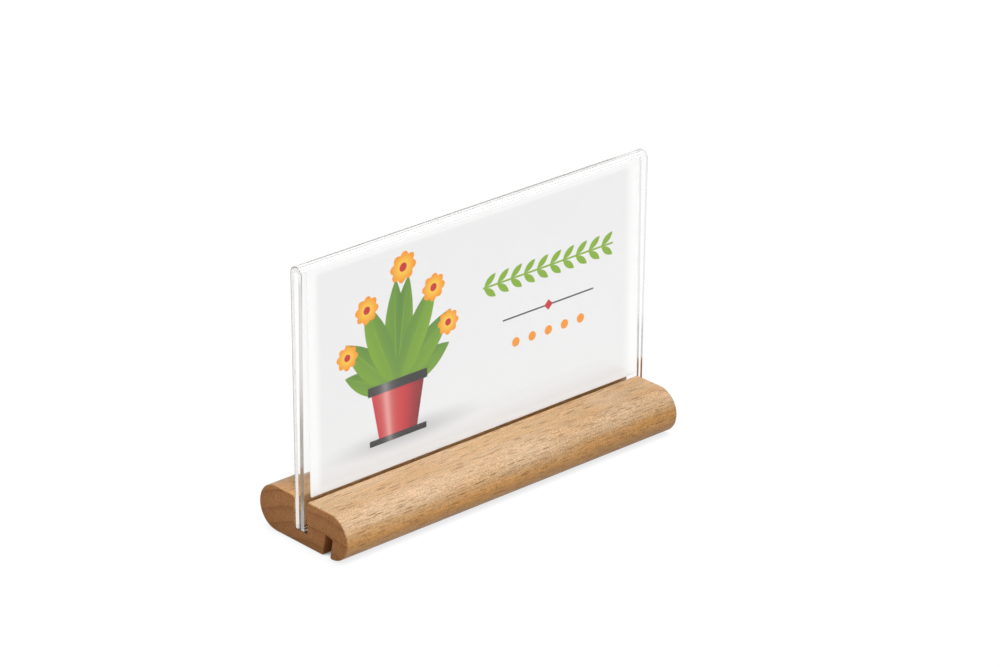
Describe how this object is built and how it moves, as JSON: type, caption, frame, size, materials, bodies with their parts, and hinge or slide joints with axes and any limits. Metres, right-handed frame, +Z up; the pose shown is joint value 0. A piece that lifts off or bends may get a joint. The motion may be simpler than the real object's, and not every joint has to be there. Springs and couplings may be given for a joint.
{
  "type": "tabletop sign holder",
  "caption": "Tabletop sign holder: round-sided wooden bar with a slot along its top, a clear folded acrylic sleeve standing in the slot, and a landscape insert card inside the sleeve.",
  "frame": {"origin": "on the table, under the middle of the whole length of base and sleeve and the middle of the base's depth", "axes": "+X along the bar to the right as seen from the front, +Y towards the rear, +Z up"},
  "size_m": [0.154, 0.0452, 0.0997],
  "materials": {
    "wood": "light beech, satin oiled",
    "acrylic": "clear, polished",
    "card": "matte printed card"
  },
  "bodies": {
    "base": {"wood_base": "wood"},
    "sleeve": {"acrylic_sleeve": "acrylic"},
    "card": {"insert_card": "card"}
  },
  "joints": [
    {"name": "sleeve_lift", "type": "slide", "parent": "base", "child": "sleeve", "axis": [0, 0, 1], "range_m": [0, 0.03]},
    {"name": "card_slide", "type": "slide", "parent": "sleeve", "child": "card", "axis": [1, 0, 0], "range_m": [-0.155, 0.155]}
  ]
}
